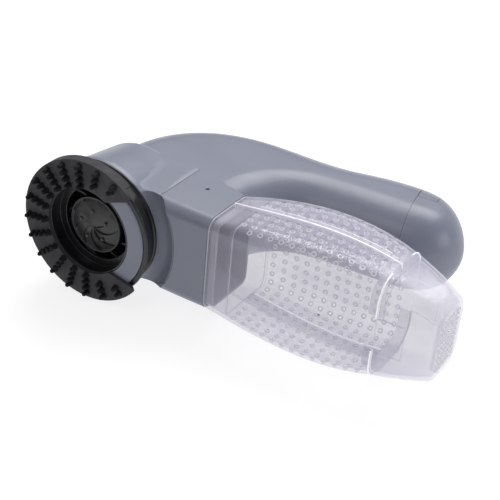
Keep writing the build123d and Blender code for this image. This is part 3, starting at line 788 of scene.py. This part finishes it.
def lip_edge():
    """The bright edge of the near shell's lip, seen through the far shell's wall; its faint glow is
    painted light.
    """
    piece = welded_copy("bin_near_shell")
    edges = [
        edge for edge in piece.edges
        if all(vert.co.y > near_high.y - ON_SURFACE for vert in edge.verts)
        and len(edge.link_faces) == 2 and edge.calc_face_angle(0) > SHARP
    ]
    bm = bmesh.new()
    for points in chains(edges):
        bead(bm, thinned(points, SEAM_STEP), LIP_EDGE_R)
    piece.free()
    mesh = to_mesh(bm, "lip_edge")
    mesh_object("lip_edge", mesh, MATERIALS["bin_edges"], "bin", 60)


lip_edge()


# ---------------------------------------------------------------------------
# Drum shoulder: the rounded back of the drum, down to where the handle starts.
# ---------------------------------------------------------------------------
DRUM_R = 30.6 * MM
SHOULDER_ROUND = 8 * MM
SHOULDER_WALL = 2 * MM
SHOULDER_END_Y = -9 * MM
HANDLE_OVERLAP = 3.2 * MM
UNDER_SURFACE = 0.03 * MM


def drum_shoulder():
    """Closes the drum behind the motor room, a hair under the CAD drum's own surface."""
    centre_r, centre_y = DRUM_R - SHOULDER_ROUND, SHOULDER_END_Y - SHOULDER_ROUND
    outer_r = SHOULDER_ROUND - UNDER_SURFACE
    inner_r = outer_r - SHOULDER_WALL
    turns = [radians(30 + 5 * step) for step in range(13)]
    tail_y = SHOULDER_END_Y + HANDLE_OVERLAP
    tail_r = centre_r - 0.2 * MM
    tail_inner_r = tail_r - SHOULDER_WALL
    profile = [(centre_r + outer_r * cos(turn), centre_y + outer_r * sin(turn)) for turn in turns]
    profile += [
        (tail_r, SHOULDER_END_Y - UNDER_SURFACE),
        (tail_r, tail_y),
        (tail_inner_r, tail_y),
        (tail_inner_r, centre_y + inner_r * sin(turns[-1])),
    ]
    profile += [
        (centre_r + inner_r * cos(turn), centre_y + inner_r * sin(turn))
        for turn in reversed(turns[:-1])
    ]
    bm = bmesh.new()
    lathe(bm, profile, 180)
    mesh = to_mesh(bm, "drum_shoulder")
    mesh_object("drum_shoulder", mesh, MATERIALS["body_plastic"], "casing", 30)


drum_shoulder()


# ---------------------------------------------------------------------------
# Stage: floor, light and camera.
# ---------------------------------------------------------------------------
def resting_plane():
    """The plane the cleaner rests on: the face of its hull under its middle, pointing down."""
    bm = bmesh.new()
    for obj in nodes.values():
        for vert in obj.data.vertices:
            bm.verts.new(vert.co)
    hull = bmesh.ops.convex_hull(bm, input=bm.verts, use_existing_faces=False)
    middle = (cad_box[0] + cad_box[1]) / 2
    best = None
    for face in hull["geom"]:
        if isinstance(face, bmesh.types.BMFace) and face.normal.z < -0.9:
            normal, point = face.normal.copy(), face.verts[0].co.copy()
            drop = (point - middle).dot(normal) / normal.z
            foot = middle + Vector((0, 0, drop))
            inside = all(
                (b.co - a.co).cross(foot - a.co).dot(normal) >= -1e-9
                for a, b in zip(face.verts, list(face.verts)[1:] + [face.verts[0]])
            )
            if inside:
                best = (point, normal)
    bm.free()
    return best


def floor_material():
    """A white table that gives a little light, so that the shadows on it are faint."""
    glow = {"Emission_Color": (1, 1, 1, 1), "Emission_Strength": 0.80}
    shader = Shader("floor", 0.7, Specular_IOR_Level=0.1, **glow)
    cloud = shader.spread(shader.noise(3, 2), 0, 1)
    shader.colour(shader.mix(cloud, (0.27, 0.27, 0.275), (0.29, 0.29, 0.29)))
    return shader.material


rest_point, down = resting_plane()
bm = bmesh.new()
bmesh.ops.create_grid(bm, x_segments=2, y_segments=2, size=6.0)
floor_mesh = bpy.data.meshes.new("floor")
bm.to_mesh(floor_mesh)
bm.free()
floor_obj = bpy.data.objects.new("floor", floor_mesh)
bpy.context.scene.collection.objects.link(floor_obj)
floor_obj.location = rest_point + down * 0.2 * MM
floor_obj.rotation_mode = "QUATERNION"
floor_obj.rotation_quaternion = (-down).to_track_quat("Z", "Y")
floor_mesh.materials.append(floor_material())


def area_light(name, azimuth, elevation, distance, size, power):
    """A soft rectangular light aimed at the middle of the object."""
    middle = (cad_box[0] + cad_box[1]) / 2
    a, e = radians(azimuth), radians(elevation)
    out = Vector((sin(a) * cos(e), -cos(a) * cos(e), sin(e)))
    data = bpy.data.lights.new(name, "AREA")
    data.shape = "RECTANGLE"
    data.size, data.size_y = size
    data.energy = power
    lamp = bpy.data.objects.new(name, data)
    bpy.context.scene.collection.objects.link(lamp)
    lamp.location = middle + out * distance
    lamp.rotation_mode = "QUATERNION"
    lamp.rotation_quaternion = out.to_track_quat("Z", "Y")


area_light("key", -165, 58, 1.5, (1.3, 1.0), 22)
area_light("side", 95, 22, 1.6, (0.8, 0.8), 6)
area_light("front", -20, 50, 1.8, (0.6, 0.6), 3)

world = bpy.data.worlds.new("world")
bpy.context.scene.world = world
world.use_nodes = True
background = world.node_tree.nodes["Background"]
background.inputs["Color"].default_value = (1.0, 1.0, 1.0, 1)
background.inputs["Strength"].default_value = 0.32
bpy.context.scene.view_settings.view_transform = "Standard"

# The camera looks from the right of the head and above, and leans a little.
CAMERA_AZIMUTH, CAMERA_ELEVATION, CAMERA_ROLL = 29.2, 32.0, 5.5
CAMERA_DISTANCE = 0.70
CAMERA_TARGET = Vector((-0.010, -0.0065, 0.027))
FOCAL_RATIO = 2.62  # the lens's focal length over the sensor's width
SENSOR_WIDTH = 36

azimuth, elevation, roll = map(radians, (CAMERA_AZIMUTH, CAMERA_ELEVATION, CAMERA_ROLL))
back = Vector((sin(azimuth) * cos(elevation), -cos(azimuth) * cos(elevation), sin(elevation)))
level = (-back).cross(Vector((0, 0, 1))).normalized()
above = level.cross(-back)
right = level * cos(roll) + above * sin(roll)
up = above * cos(roll) - level * sin(roll)
camera_data = bpy.data.cameras.new("camera")
camera_data.sensor_width = SENSOR_WIDTH
camera_data.lens = SENSOR_WIDTH * FOCAL_RATIO
camera_data.clip_end = 50
camera = bpy.data.objects.new("camera", camera_data)
bpy.context.scene.collection.objects.link(camera)
camera.matrix_world = Matrix(
    (
        (right.x, up.x, back.x, 0),
        (right.y, up.y, back.y, 0),
        (right.z, up.z, back.z, 0),
        (0, 0, 0, 1),
    )
)
camera.location = CAMERA_TARGET + back * CAMERA_DISTANCE
bpy.context.scene.camera = camera

# ---------------------------------------------------------------------------
# The CAD nodes' materials and edges.
# ---------------------------------------------------------------------------
CASING_NODES = (
    "front_housing", "bin_collar", "handle_upper", "handle_lower", "battery_cap", "battery_cap_latch"
)
HEAD_NODES = ("nozzle_ring", "nozzle_skirt", "throat_cup", "bristle_pad", "switch_knob")
CLEAR_NODES = ("end_cap", "end_latch_near", "end_latch_far")

dress()
for width, names in (
    (0.28 * MM, CASING_NODES), (0.35 * MM, HEAD_NODES), (0.25 * MM, CLEAR_NODES)
):
    for name in names:
        soften(name, width)
